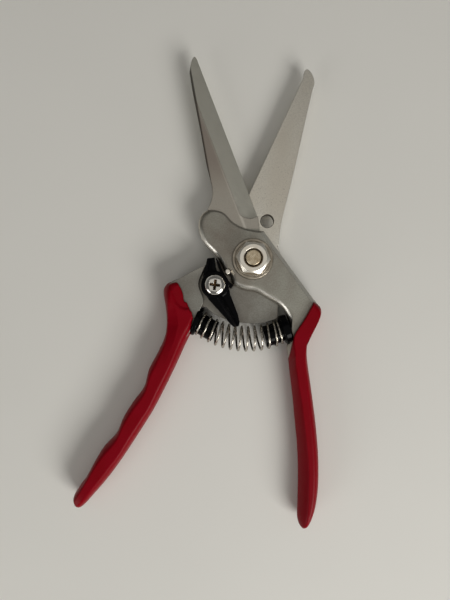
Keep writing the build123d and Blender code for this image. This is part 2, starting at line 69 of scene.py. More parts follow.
class Shade:
    """A procedural material, built on a Principled shader."""

    def __init__(self, name, **sockets):
        self.material = bpy.data.materials.new(name)
        self.material.use_nodes = True
        self.tree = self.material.node_tree
        self.bsdf = self.tree.nodes["Principled BSDF"]
        self.coords = self.tree.nodes.new("ShaderNodeTexCoord").outputs["Object"]
        for socket, value in sockets.items():
            self.bsdf.inputs[socket.replace("_", " ")].default_value = value

    def link(self, source, target):
        self.tree.links.new(source, target)

    def stretched(self, scale, turn=0.0):
        """The object's coordinates, scaled along X, Y and Z after a turn about Z in degrees."""
        turned = self.tree.nodes.new("ShaderNodeMapping")
        turned.inputs["Rotation"].default_value = (0, 0, math.radians(turn))
        self.link(self.coords, turned.inputs["Vector"])
        sized = self.tree.nodes.new("ShaderNodeMapping")
        sized.inputs["Scale"].default_value = scale
        self.link(turned.outputs["Vector"], sized.inputs["Vector"])
        return sized.outputs["Vector"]

    def noise(self, scale, detail=3.0, roughness=0.55, vector=None):
        node = self.tree.nodes.new("ShaderNodeTexNoise")
        node.inputs["Scale"].default_value = scale
        node.inputs["Detail"].default_value = detail
        node.inputs["Roughness"].default_value = roughness
        self.link(vector or self.coords, node.inputs["Vector"])
        return node.outputs["Fac"]

    def axis(self, letter):
        """The object's coordinate along X, Y or Z, in metres."""
        node = self.tree.nodes.new("ShaderNodeSeparateXYZ")
        self.link(self.coords, node.inputs["Vector"])
        return node.outputs[letter]

    def ramp(self, value, stops):
        """Turns a value into colours: stops are (position, colour or grey)."""
        node = self.tree.nodes.new("ShaderNodeValToRGB")
        elements = node.color_ramp.elements
        while len(elements) < len(stops):
            elements.new(0.5)
        for element, (position, colour) in zip(elements, stops):
            element.position = position
            if isinstance(colour, (int, float)):
                colour = (colour, colour, colour)
            element.color = (*colour, 1)
        self.link(value, node.inputs["Fac"])
        return node.outputs["Color"]

    def mix(self, factor, a, b):
        """Colour a where factor is 0 and b where it is 1."""
        node = self.tree.nodes.new("ShaderNodeMix")
        node.data_type = "RGBA"
        self.plug(factor, node.inputs["Factor"])
        self.plug(a, node.inputs["A"])
        self.plug(b, node.inputs["B"])
        return node.outputs["Result"]

    def math(self, operation, a, b):
        node = self.tree.nodes.new("ShaderNodeMath")
        node.operation = operation
        self.plug(a, node.inputs[0])
        self.plug(b, node.inputs[1])
        return node.outputs["Value"]

    def product(self, first, *others):
        for other in others:
            first = self.math("MULTIPLY", first, other)
        return first

    def across(self, point, toward):
        """Distance in millimetres from a line through a point in plan; toward names its positive side."""
        node = self.tree.nodes.new("ShaderNodeVectorMath")
        node.operation = "DOT_PRODUCT"
        self.link(self.coords, node.inputs[0])
        length = math.hypot(*toward) * MM
        node.inputs[1].default_value = (toward[0] / length, toward[1] / length, 0)
        start = (point[0] * toward[0] + point[1] * toward[1]) * MM / length
        return self.math("SUBTRACT", node.outputs["Value"], start)

    def around(self, point):
        """Distance in millimetres from an upright axis through a point in plan."""
        squares = [self.math("POWER", self.across(point, way), 2.0) for way in ((1, 0), (0, 1))]
        return self.math("POWER", self.math("ADD", *squares), 0.5)

    def lean(self, direction):
        """How far the surface faces a direction: 1 straight at it, 0 across it."""
        node = self.tree.nodes.new("ShaderNodeVectorMath")
        node.operation = "DOT_PRODUCT"
        self.link(self.tree.nodes.new("ShaderNodeNewGeometry").outputs["Normal"], node.inputs[0])
        node.inputs[1].default_value = Vector(direction).normalized()
        return node.outputs["Value"]

    def fade(self, value, low, high):
        """0 below low, 1 above high and smooth between, or the other way round where low is the larger."""
        node = self.tree.nodes.new("ShaderNodeMapRange")
        node.interpolation_type = "SMOOTHSTEP"
        node.inputs["From Min"].default_value = min(low, high)
        node.inputs["From Max"].default_value = max(low, high)
        node.inputs["To Min"].default_value = 0.0 if low < high else 1.0
        node.inputs["To Max"].default_value = 1.0 if low < high else 0.0
        self.link(value, node.inputs["Value"])
        return node.outputs["Result"]

    def occlusion_shaded(self, colour, shade_colour, reach):
        """The colour, darkened towards painted shade in corners and seams narrower than a reach in metres."""
        node = self.tree.nodes.new("ShaderNodeAmbientOcclusion")
        node.samples = 8
        node.inputs["Distance"].default_value = reach
        open_air = self.fade(node.outputs["AO"], 0.25, 0.85)
        return self.mix(open_air, shade_colour, colour)

    def plug(self, value, socket):
        if isinstance(value, bpy.types.NodeSocket):
            self.link(value, socket)
        else:
            socket.default_value = value

    def bump(self, *layers, rounding=0.0):
        """Adds bumps, each as (height, strength, distance in metres), over edges rounded by a radius."""
        normal = None
        if rounding:
            node = self.tree.nodes.new("ShaderNodeBevel")
            node.samples = 6
            node.inputs["Radius"].default_value = rounding
            normal = node.outputs["Normal"]
        for height, strength, distance in layers:
            node = self.tree.nodes.new("ShaderNodeBump")
            node.inputs["Strength"].default_value = strength
            node.inputs["Distance"].default_value = distance
            self.link(height, node.inputs["Height"])
            if normal:
                self.link(normal, node.inputs["Normal"])
            normal = node.outputs["Normal"]
        self.link(normal, self.bsdf.inputs["Normal"])

    def set(self, socket, value):
        self.plug(value, self.bsdf.inputs[socket])


# ---------------------------------------------------------------- materials

# Colours and tones of the forged steel
PALE_GROUND = (0.89, 0.865, 0.78)
DARK_GROUND = (0.71, 0.67, 0.59)
DULL_GROUND_SHARE = 0.84
WARM_GROUND_SHARES = (0.84, 0.80, 0.76)
UPPER_BLASTING = ((0.34, 0.308, 0.266), (0.45, 0.445, 0.39))
LOWER_BLASTING = ((0.27, 0.25, 0.22), (0.37, 0.365, 0.33))
MOTTLED = (0.17, 0.155, 0.13, 1)
# A painted highlight for the rims that face the lamps
RIM_HIGHLIGHT = (0.82, 0.79, 0.72, 1)
# A painted highlight for sloped edges that face right
SIDE_HIGHLIGHT = (0.85, 0.83, 0.76, 1)
# Painted shade for the step wall, which faces away from the lamps
STEP_SHADE = (0.13, 0.10, 0.075, 1)
SPECKLED = (0.22, 0.19, 0.15, 1)
# Painted shade for the corners and seams of the forged steel
STEEL_CREVICE_SHADE = (0.10, 0.08, 0.06, 1)
# Painted shade for the inside and rim of the lower blade's hole
HOLE_SHADE = (0.05, 0.036, 0.025, 1)
# A painted highlight for the upper blade's bevel, and painted shade for its flat
BEVEL_HIGHLIGHT = (1.0, 0.99, 0.88, 1)
FLAT_SHADE = (0.40, 0.375, 0.33, 1)
# A painted brown reflection for the upper blade, left of its ridge
BROWN_REFLECTION = (0.27, 0.20, 0.175, 1)
# A painted highlight along the upper blade's ridge
RIDGE_HIGHLIGHT = (0.92, 0.88, 0.79, 1)
# Painted shade for a dark line along the upper blade's spine
SPINE_SHADE = (0.05, 0.042, 0.036, 1)
# Painted shade in the seams of plated pieces, and on the spring's wire low down between its crests
SEAM_SHADE = (0.11, 0.07, 0.035, 1)
WIRE_SHADE = (0.085, 0.068, 0.052, 1)
# Which way the painted rim and side highlights face, and the direction of the grinding on the blades
LIGHT_SIDE = (-0.35, -0.94, 0.0)
SIDE_HIGHLIGHT_FACING = (0.81, 0.59, 0.0)
BLADE_GRAIN_DEG = 22.0
# Where the blades are ground: two distances along Y between which that begins, and a height above them
UPPER_GROUND_FROM = (12.4, 12.6)
UPPER_BLADE_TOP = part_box("catch_pin")[0].z + 0.0024
LOWER_GROUND_FROM = (-8.0, 4.0)
NO_TOP = 1.0
# Lines in plan, each as a point and the side it faces: the ridge and the spine of the upper blade
UPPER_RIDGE_AT = (-6.0, 20.7)
UPPER_RIDGE_SIDE = (-64.0, -24.6)
UPPER_SPINE_AT = (-17.2, 31.0)
UPPER_SPINE_SIDE = (45.2, 8.2)
HOLE = next(mount for mount in frame["record"]["mounts"] if mount["name"] == "hang_hole")
HOLE_AT = tuple(c / MM for c in HOLE["pos_m"][:2])
HOLE_R = HOLE["dims"]["r_mm"]


def blasted_steel(s, along, height, mottle, blasting):
    """The blasted plates' colour, with painted highlights on edges and painted shade on the step, and the
    mask of the polished rims.
    """
    plain = s.ramp(s.noise(70, 3), [(0.35, blasting[0]), (0.65, blasting[1])])
    mottled = s.mix(s.ramp(mottle, [(0.36, 0.35), (0.62, 0.0)]), plain, MOTTLED)
    rise, side = s.lean(UP), s.lean(LIGHT_SIDE)
    upper = s.math("GREATER_THAN", height, MID_Z)
    sloped = s.product(s.fade(rise, 0.99, 0.86), s.fade(rise, 0.12, 0.4), upper)
    # Painted highlight on sloped rims facing the lamps; the same mask also makes them smoother
    polish_and_highlight = s.product(
        sloped, s.fade(side, 0.04, 0.3), s.fade(along, 15 * MM, 9 * MM), s.fade(along, -33 * MM, -29 * MM)
    )
    # Painted highlight on sloped edges that face right
    side_highlight = s.product(sloped, s.fade(s.lean(SIDE_HIGHLIGHT_FACING), 0.3, 0.6), 0.8)
    # Painted shade on sloped faces turned away from the lamps, along the step above the blade
    step_shade = s.product(sloped, s.fade(side, -0.04, -0.25), s.fade(along, 10.5 * MM, 11.5 * MM), 0.4)
    colour = mottled
    for mask, tone in ((polish_and_highlight, RIM_HIGHLIGHT), (side_highlight, SIDE_HIGHLIGHT), (step_shade, STEP_SHADE)):
        colour = s.mix(mask, colour, tone)
    return colour, polish_and_highlight


def ground_steel(s, along, mottle, ground):
    """The colour of a ground blade: mottled, warmer in long drifts, and speckled over its root."""
    dull = tuple(DULL_GROUND_SHARE * c for c in ground)
    warm = tuple(share * c for share, c in zip(WARM_GROUND_SHARES, ground))
    colour = s.mix(s.ramp(mottle, [(0.36, 0.0), (0.58, 1.0)]), (*dull, 1), (*ground, 1))
    drift = s.noise(1, 2, vector=s.stretched((60, 26, 60), BLADE_GRAIN_DEG))
    colour = s.mix(s.ramp(drift, [(0.35, 0.0), (0.65, 0.7)]), colour, (*warm, 1))
    speckle = s.ramp(s.noise(1300, 4, 0.65), [(0.60, 0.0), (0.68, 0.45)])
    rooted = s.product(s.fade(along, 14 * MM, 26 * MM), s.fade(along, 46 * MM, 36 * MM))
    return s.mix(s.product(speckle, rooted), colour, SPECKLED)


def forged_steel(name, blasting, ground, ground_from, ground_top, paint_light):
    """Warm grey steel: finely blasted on the plates, and ground smooth on the blade.

    blasting is the two colours that the blasted plates wander between. ground is the ground blade's colour,
    which begins between two distances along Y, below ground_top. The last argument paints light and shade.
    """
    s = Shade(name, Metallic=1.0)
    along, height = s.axis("Y"), s.axis("Z")
    beyond = s.fade(along, *(y * MM for y in ground_from))
    blade = s.product(beyond, s.math("LESS_THAN", height, ground_top))
    grain = s.noise(5200, 2)
    brush = s.noise(1, 3, vector=s.stretched((350, 5200, 350), BLADE_GRAIN_DEG))
    mottle = s.noise(1900, 3, 0.6)
    blasted, polish_and_highlight = blasted_steel(s, along, height, mottle, blasting)
    # Painted light and shade on the ground blade
    bladed = paint_light(s, ground_steel(s, along, mottle, ground))
    # Painted shade in corners and seams, over the plates' and the blade's colours
    s.set("Base Color", s.occlusion_shaded(s.mix(blade, blasted, bladed), STEEL_CREVICE_SHADE, 0.0012))
    matt = s.ramp(grain, [(0.3, 0.36), (0.7, 0.54)])
    rough = s.mix(blade, matt, s.ramp(brush, [(0.3, 0.34), (0.7, 0.50)]))
    s.set("Roughness", s.mix(s.product(polish_and_highlight, 0.8), rough, (0.34, 0.34, 0.34, 1)))
    pits = s.ramp(grain, [(0.25, 0.0), (0.75, 1.0)])
    relief = s.mix(blade, pits, s.ramp(brush, [(0.25, 0.2), (0.75, 0.8)]))
    s.bump((relief, 0.3, 0.00003), (mottle, 0.12, 0.00006), rounding=0.00035)
    return s.material


def shaded_hole(s, colour):
    """The lower blade's colour, with painted shade in and round its hole."""
    hole_shade = s.fade(s.around(HOLE_AT), HOLE_R + 0.25, HOLE_R + 0.05)
    return s.mix(s.product(hole_shade, 0.9), colour, HOLE_SHADE)


def painted_blade_light(s, colour):
    """The upper blade's colour with painted light and shade on bevel, flat, ridge and spine, and a brown
    reflection.
    """
    rise = s.lean(UP)
    along = s.axis("Y")
    beside = s.across(UPPER_RIDGE_AT, UPPER_RIDGE_SIDE)
    inboard = s.across(UPPER_SPINE_AT, UPPER_SPINE_SIDE)
    # Painted highlight on the tilted bevel and painted shade on the flat, chosen by which way each faces
    bevel_highlight = s.product(s.fade(beside, 0.1, -0.3), s.fade(rise, 0.985, 0.96), 0.75)
    flat_shade = s.product(s.fade(rise, 0.96, 0.985), 0.6)
    # Painted brown reflection between the ridge and the spine
    blotch = s.product(
        s.fade(beside, 0.1, 0.9), s.fade(along, 26 * MM, 42 * MM), s.fade(along, 64 * MM, 54 * MM), 0.45
    )
    # Painted highlight along the lower part of the ridge
    lit_crest = s.product(
        s.fade(s.math("ABSOLUTE", beside, 0.0), 0.9, 0.1), s.fade(along, 46 * MM, 26 * MM), 0.5
    )
    # Painted shade along the spine
    spine_shade = s.product(s.fade(inboard, 0.75, 0.3), s.fade(along, 25 * MM, 31 * MM), 0.8)
    tones = ((bevel_highlight, BEVEL_HIGHLIGHT), (flat_shade, FLAT_SHADE), (blotch, BROWN_REFLECTION), (lit_crest, RIDGE_HIGHLIGHT), (spine_shade, SPINE_SHADE))
    for mask, tone in tones:
        colour = s.mix(mask, colour, tone)
    return colour


def plated_steel(name, pale, bright, smooth):
    """Plated or turned steel whose tone wanders between two colours, with painted shade in its seams."""
    s = Shade(name, Metallic=1.0)
    fine = s.noise(4000, 2)
    tone = s.ramp(s.noise(420, 3), [(0.35, pale), (0.65, bright)])
    s.set("Base Color", s.occlusion_shaded(tone, SEAM_SHADE, 0.003))
    s.set("Roughness", s.ramp(fine, [(0.3, smooth), (0.7, smooth + 0.12)]))
    s.bump((fine, 0.15, 0.00003), rounding=0.0002)
    return s.material


def spring_steel():
    """Drawn wire, bright on its crests, with painted shade low down between them."""
    s = Shade("spring_steel", Metallic=1.0)
    blotch = s.noise(900, 3)
    # Painted shade on the lower turns of the wire, below the lit crests
    lit_crest = s.fade(s.axis("Z"), MID_Z - 2 * MM, MID_Z + 4.6 * MM)
    bright = s.ramp(blotch, [(0.35, (0.40, 0.37, 0.31)), (0.65, (0.66, 0.62, 0.55))])
    s.set("Base Color", s.mix(lit_crest, WIRE_SHADE, bright))
    s.set("Roughness", s.ramp(blotch, [(0.3, 0.20), (0.7, 0.32)]))
    s.bump((s.noise(5000, 2), 0.1, 0.00002))
    return s.material


def black_plastic():
    """Moulded plastic: near black and semi-gloss."""
    s = Shade("black_plastic", Base_Color=(0.0012, 0.0013, 0.0018, 1), Specular_IOR_Level=0.07)
    fine = s.noise(3500, 2)
    s.set("Roughness", s.ramp(fine, [(0.3, 0.18), (0.7, 0.30)]))
    s.bump((fine, 0.15, 0.00004))
    return s.material


def red_plastic():
    """Dipped vinyl: deep red, semi-gloss, a little uneven."""
    s = Shade("grip_red", Specular_IOR_Level=0.08)
    cloud = s.noise(140, 3)
    s.set("Base Color", s.ramp(cloud, [(0.3, (0.212, 0.0003, 0.005)), (0.7, (0.232, 0.0004, 0.007))]))
    s.set("Roughness", s.ramp(s.noise(600, 3), [(0.3, 0.33), (0.7, 0.37)]))
    s.bump((s.noise(260, 2), 0.02, 0.0003), (s.noise(3500, 2), 0.03, 0.00004))
    return s.material


MATERIALS = {
    "forged_steel": forged_steel(
        "upper_steel", UPPER_BLASTING, DARK_GROUND, UPPER_GROUND_FROM, UPPER_BLADE_TOP, painted_blade_light
    ),
    "lower_steel": forged_steel(
        "lower_steel", LOWER_BLASTING, PALE_GROUND, LOWER_GROUND_FROM, NO_TOP, shaded_hole
    ),
    "bolt_steel": plated_steel("bolt_steel", (0.98, 0.91, 0.79), (1.0, 0.96, 0.87), 0.30),
    "bolt_end": plated_steel("bolt_end", (0.50, 0.39, 0.25), (0.82, 0.72, 0.54), 0.24),
    "washer_steel": plated_steel("washer_steel", (0.36, 0.32, 0.26), (0.52, 0.47, 0.39), 0.30),
    "screw_steel": plated_steel("screw_steel", (0.86, 0.83, 0.77), (0.97, 0.95, 0.90), 0.08),
    # Painted shade for the faces of the screw's cross recess
    "recess_dirt": plated_steel("recess_dirt", (0.02, 0.014, 0.01), (0.13, 0.06, 0.03), 0.35),
    "spring_steel": spring_steel(),
    "black_plastic": black_plastic(),
    "grip_red": red_plastic(),
}

OWN_FINISH = {
    "lower_half": "lower_steel",
    "pivot_bolt": "bolt_end",
    "pivot_washer": "washer_steel",
    "pivot_cone_washer": "washer_steel",
}


def paint_nodes():
    """Gives each CAD node its own finish, or else the material of its slot in the record."""
    slots = {part["node"]: part["material_slot"] for part in frame["record"]["subparts"]}
    for name, node in nodes.items():
        node.data.materials.clear()
        node.data.materials.append(MATERIALS[OWN_FINISH.get(name, slots[name])])


paint_nodes()


# ---------------------------------------------------------------- mesh helpers


def make_object(name, vertices, faces, material, crease_deg=None):
    """A smooth-shaded mesh object from vertices in millimetres, creased above an angle if one is given."""
    mesh = bpy.data.meshes.new(name)
    mesh.from_pydata([tuple(c * MM for c in v) for v in vertices], [], faces)
    mesh.update()
    bm = bmesh.new()
    bm.from_mesh(mesh)
    bmesh.ops.recalc_face_normals(bm, faces=bm.faces)
    bm.to_mesh(mesh)
    bm.free()
    mesh.shade_smooth()
    if crease_deg is not None:
        mesh.set_sharp_from_angle(angle=math.radians(crease_deg))
    mesh.materials.append(MATERIALS[material])
    obj = bpy.data.objects.new(name, mesh)
    bpy.context.scene.collection.objects.link(obj)
    return obj


def skin_rings(rings, closed=False):
    """Vertices and faces of a tube through rings of equal length, capped at both ends unless it is closed."""
    count, size = len(rings), len(rings[0])
    vertices = [tuple(p) for ring in rings for p in ring]
    faces = []
    for i in range(count if closed else count - 1):
        a, b = i * size, (i + 1) % count * size
        for j in range(size):
            k = (j + 1) % size
            faces.append((a + j, a + k, b + k, b + j))
    if not closed:
        faces.append(tuple(reversed(range(size))))
        faces.append(tuple(range((count - 1) * size, count * size)))
    return vertices, faces


def spline_through(rows, steps):
    """Points on a smooth curve through rows of numbers, with so many steps between two rows."""
    rows = np.array(rows, float)
    ends = np.vstack([2 * rows[0] - rows[1], rows, 2 * rows[-1] - rows[-2]])
    points = []
    for i in range(len(rows) - 1):
        a, b, c, d = ends[i:i + 4]
        slope, bend, twist = c - a, 2 * a - 5 * b + 4 * c - d, 3 * b - a - 3 * c + d
        for t in np.arange(steps) / steps:
            points.append(0.5 * (2 * b + slope * t + bend * t**2 + twist * t**3))
    return np.array(points + [rows[-1]])


# ---------------------------------------------------------------- grips

# Each row crosses a grip: its outer side and its inner side in plan, how far the slopes of the inner and
# the outer side reach across the grip, the two numbers that shape the inner and the outer slope
# (1 is nearly a straight slant, 2 is a quarter round), and the grip's half thickness there
RIGHT_GRIP_ROWS = [
    ((25.2, -16.9), (15.0, -41.2), 0.32, 0.10, 1.15, 2.2, 5.95),
    ((27.9, -19.4), (15.2, -43.0), 0.17, 0.13, 1.15, 2.2, 6.0),
    ((28.2, -22.2), (15.4, -45.0), 0.15, 0.16, 1.15, 2.2, 6.0),
    ((26.0, -26.2), (15.7, -47.5), 0.18, 0.20, 1.15, 2.1, 6.0),
    ((23.6, -30.2), (16.0, -50.0), 0.25, 0.24, 1.15, 2.1, 6.0),
    ((22.5, -34.8), (16.4, -53.2), 0.30, 0.28, 1.15, 2.1, 6.0),
    ((22.6, -40.5), (16.8, -57.0), 0.35, 0.32, 1.15, 2.0, 6.0),
    ((23.6, -48.0), (17.3, -62.0), 0.39, 0.34, 1.15, 2.0, 6.0),
    ((25.0, -58.0), (17.9, -68.2), 0.40, 0.36, 1.15, 2.0, 6.0),
    ((26.4, -69.5), (18.6, -76.0), 0.41, 0.37, 1.15, 2.0, 6.0),
    ((27.3, -81.0), (19.0, -85.0), 0.45, 0.37, 1.15, 2.0, 6.0),
    ((27.3, -92.0), (19.0, -94.0), 0.46, 0.37, 1.15, 2.0, 5.95),
    ((26.4, -100.2), (18.8, -101.3), 0.51, 0.38, 1.2, 2.0, 5.8),
    ((24.9, -105.6), (18.7, -106.2), 0.58, 0.39, 1.3, 2.0, 5.4),
    ((23.4, -108.9), (19.4, -109.3), 0.58, 0.40, 1.5, 2.0, 4.2),
    ((22.2, -110.4), (20.3, -110.6), 0.50, 0.45, 1.8, 2.0, 2.4),
]
LEFT_GRIP_ROWS = [
    ((-30.8, -9.1), (-24.2, -24.6), 0.10, 0.10, 2.2, 2.2, 5.95),
    ((-34.0, -9.3), (-24.5, -27.0), 0.12, 0.20, 2.2, 2.0, 6.0),
    ((-36.2, -11.3), (-24.9, -29.2), 0.15, 0.27, 2.1, 1.8, 6.0),
    ((-36.6, -14.4), (-26.0, -31.7), 0.18, 0.33, 2.0, 1.6, 6.0),
    ((-35.8, -19.5), (-27.7, -35.2), 0.22, 0.38, 2.0, 1.6, 6.0),
    ((-35.3, -25.5), (-29.6, -39.4), 0.26, 0.38, 2.0, 1.7, 6.0),
    ((-36.0, -31.5), (-31.9, -44.4), 0.28, 0.34, 2.0, 1.9, 6.0),
    ((-39.0, -38.3), (-34.6, -50.0), 0.29, 0.30, 2.0, 2.0, 6.0),
    ((-42.5, -45.0), (-37.5, -55.8), 0.29, 0.28, 2.0, 2.0, 6.0),
    ((-44.5, -52.2), (-40.8, -62.0), 0.29, 0.28, 2.0, 2.0, 6.0),
    ((-49.2, -58.7), (-44.6, -68.2), 0.29, 0.28, 2.0, 2.0, 6.0),
    ((-53.0, -64.8), (-48.8, -74.7), 0.30, 0.28, 2.0, 2.0, 6.0),
    ((-55.8, -71.3), (-53.2, -81.4), 0.30, 0.28, 2.0, 2.0, 5.95),
    ((-61.1, -77.1), (-57.6, -87.6), 0.31, 0.29, 2.0, 2.0, 5.9),
    ((-64.7, -82.8), (-61.8, -92.8), 0.32, 0.26, 2.0, 2.0, 5.85),
    ((-67.9, -88.8), (-65.6, -97.1), 0.33, 0.25, 2.0, 2.0, 5.75),
    ((-71.5, -93.9), (-68.6, -100.5), 0.36, 0.35, 2.0, 2.0, 5.2),
    ((-73.5, -97.4), (-70.6, -102.1), 0.40, 0.39, 2.0, 2.0, 4.2),
    ((-73.4, -100.3), (-72.0, -101.9), 0.45, 0.45, 2.0, 2.0, 2.6),
]
RIGHT_GRIP_EDGE = [(0, 0), (0.29, 0.8), (0.56, 2.2), (0.63, 2.2), (0.69, 1.7), (0.85, 0.9), (1, 0)]
LEFT_GRIP_EDGE = [
    (0, 0), (0.18, 0.4), (0.33, 0.25), (0.45, -0.3), (0.52, -0.5), (0.58, 0.55), (0.64, 0.1), (0.70, 0.45),
    (0.76, 0.15), (0.83, 0.8), (0.96, 0.35), (1, 0),
]
# The ridge beside which the thumb's facet slopes away, and the end and the length of its fading
FACET_RIDGE = [
    (-34.9, -9.0), (-34.0, -14.7), (-32.9, -17.3), (-31.3, -19.9), (-30.3, -23.1), (-30.0, -26.8),
    (-31.6, -33.0), (-36.0, -44.0),
]
FACET_SLOPE = 0.42
FACET_END_Y = -44.0
FACET_FADE = 16.0
FACET_LEVEL = 3.0
# The step of the moulded lip: its line in plan, and how deep, how soft and how high above the middle it is
LIP_LINE = [(-32.2, -15.0), (-31.3, -17.5), (-29.4, -19.5), (-27.6, -20.3), (-24.0, -20.2)]
LIP_DEPTH = 0.6
LIP_SOFTNESS = 0.15
LIP_LEVEL = 4.8
LIP_FADE = 1.0
LARGEST_EXPONENT = 50.0
GRIP_STEPS = 6
SLOPE_POINTS = 12
FLAT_POINTS = 28
MOUTH_ROUNDING = 0.5
MOUTH_TURNS_DEG = (90, 60, 30)
GRIP_CREASE_DEG = 55
LEAST_POWER = 1.35


def grip_profile(inner_share, outer_share, inner_power, outer_power):
    """Half of a grip's section: pairs of (share of the way from inner to outer side, share of its height)."""
    turn = np.linspace(0, math.pi / 2, SLOPE_POINTS)
    share = 1 - np.cos(turn)

    def rise(power):
        return (1 - (1 - share) ** power) ** (1 / max(power, LEAST_POWER))

    inner = np.column_stack([share * inner_share, rise(inner_power)])
    outer = np.column_stack([1 - share * outer_share, rise(outer_power)])[::-1]
    flat = np.linspace(inner_share, 1 - outer_share, FLAT_POINTS + 2)[1:-1]
    return np.vstack([inner, np.column_stack([flat, np.ones(FLAT_POINTS)]), outer])


def grip_ring(row, inset=0.0):
    """One closed ring of points round a grip, pulled in by an inset."""
    outer, inner = row[0:2], row[2:4]
    *shape, half = row[4:9]
    across = (outer - inner) / np.linalg.norm(outer - inner)
    outer, inner = outer - across * inset, inner + across * inset
    profile = grip_profile(*shape)
    plan = inner + profile[:, :1] * (outer - inner)
    rise = profile[:, 1:] * (half - inset)
    middle = MID_Z / MM
    top = np.hstack([plan, middle + rise])
    bottom = np.hstack([plan, middle - rise])[-2:0:-1]
    return np.vstack([top, bottom])


def ragged(rings, edge):
    """Moves the end of a sleeve in and out along its edge: pairs of (share of the way across, reach)."""
    shares, reaches = zip(*edge)
    first = rings[0]
    across = first[len(first) // 2] - first[0]
    way = first @ across
    outward = np.array([across[1], -across[0], 0]) / np.linalg.norm(across)
    outward *= np.sign(outward @ (first - rings[1]).mean(axis=0))
    reach = np.interp((way.max() - way) / np.ptp(way), shares, reaches)[:, None]
    shifts = [outward * reach * (1 - k / GRIP_STEPS) for k in range(GRIP_STEPS)]
    return [ring + shift for ring, shift in zip(rings, shifts)] + rings[GRIP_STEPS:]


def distance_beside(point, line):
    """Signed distance from a point to a run of points in plan, positive to the right of its direction."""
    best = None
    for (ax, ay), (bx, by) in zip(line, line[1:]):
        run = math.hypot(bx - ax, by - ay)
        ux, uy = (bx - ax) / run, (by - ay) / run
        along = min(max((point[0] - ax) * ux + (point[1] - ay) * uy, 0.0), run)
        gap = math.hypot(point[0] - ax - ux * along, point[1] - ay - uy * along)
        right = (point[0] - ax) * uy - (point[1] - ay) * ux
        if best is None or gap < abs(best):
            best = math.copysign(gap, right)
    return best


def creased(point):
    """A point of the left sleeve after the thumb's facet and the lip's step are pressed into it."""
    x, y, z = point
    rise = abs(z - MID_Z / MM)
    if y < FACET_END_Y or rise < FACET_LEVEL:
        return point
    side = distance_beside((x, y), FACET_RIDGE)
    fading = min((y - FACET_END_Y) / FACET_FADE, 1.0)
    rise = min(rise, GRIP_TOP / MM / 2 - FACET_SLOPE * fading * max(side, 0.0))
    below_lip = distance_beside((x, y), LIP_LINE)
    if side < 0:
        depth = LIP_DEPTH * min(max((rise - LIP_LEVEL) / LIP_FADE, 0.0), 1.0)
        rise -= depth / (1 + math.exp(min(below_lip / LIP_SOFTNESS, LARGEST_EXPONENT)))
    return (x, y, MID_Z / MM + math.copysign(rise, z - MID_Z / MM))


def grip_mesh(name, rows, node, body, edge, press=None):
    """A dipped plastic sleeve lofted across its rows, with a rounded mouth that the handle enters."""
    table = spline_through([[*outer, *inner, *rest] for outer, inner, *rest in rows], GRIP_STEPS)
    rings = ragged([grip_ring(row) for row in table], edge)
    into = rings[1] - rings[0]
    into = into / np.linalg.norm(into, axis=1, keepdims=True).clip(1e-6)
    shift = rings[0] - grip_ring(table[0])
    mouth = []
    for turn in np.radians(MOUTH_TURNS_DEG):
        ring = grip_ring(table[0], MOUTH_ROUNDING * (1 - math.cos(turn)))
        mouth.append(ring + into * MOUTH_ROUNDING * (1 - math.sin(turn)) + shift)
    rings[0] = rings[0] + into * MOUTH_ROUNDING
    vertices, faces = skin_rings([*mouth, *rings])
    if press:
        vertices = [press(v) for v in vertices]
    grip = make_object(name, vertices, faces, "grip_red", GRIP_CREASE_DEG)
    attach(grip, body)
    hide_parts(node)


grip_mesh("right_grip_sleeve", RIGHT_GRIP_ROWS, "right_grip", "upper", RIGHT_GRIP_EDGE)
grip_mesh("left_grip_sleeve", LEFT_GRIP_ROWS, "left_grip", "lower", LEFT_GRIP_EDGE, creased)


# ---------------------------------------------------------------- latch lever and its screw

LATCH_AXIS = (-15.2, -10.7)
SCREW_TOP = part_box("latch_screw")[1].z / MM
SCREW_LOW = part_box("latch_screw")[0].z / MM
HEAD_HEIGHT = 2.1
HEAD_LOW = SCREW_TOP - HEAD_HEIGHT
HEAD_R = 4.1
HEAD_EDGE = 0.1
HEAD_RIM = 0.45
# Points on the head's crown, as angles from the screw's axis, and the power that flattens the crown
CROWN_DEG = (90, 82, 72, 62, 52, 42, 32, 22, 12, 4)
CROWN_POWER = 0.8
SHANK_R = 1.95
SHANK_CHAMFER = 0.45
SCREW_SIDES = 96
SCREW_CREASE_DEG = 40
RECESS_TURN_DEG = -8.0
# Height above the top of the head, and the length and width of each arm of the cross there
RECESS_SIZES = [(-1.4, 1.5, 0.55), (-0.3, 4.1, 0.95), (0.5, 5.2, 1.25)]
LEVER_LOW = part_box("latch_lever")[0].z / MM
BOSS_TOP = HEAD_LOW - 0.05
BOSS_R = 5.65
BOSS_BORE_R = 2.1
BOSS_LOW_CHAMFER = 0.3
BOSS_TOP_CHAMFER = 0.4
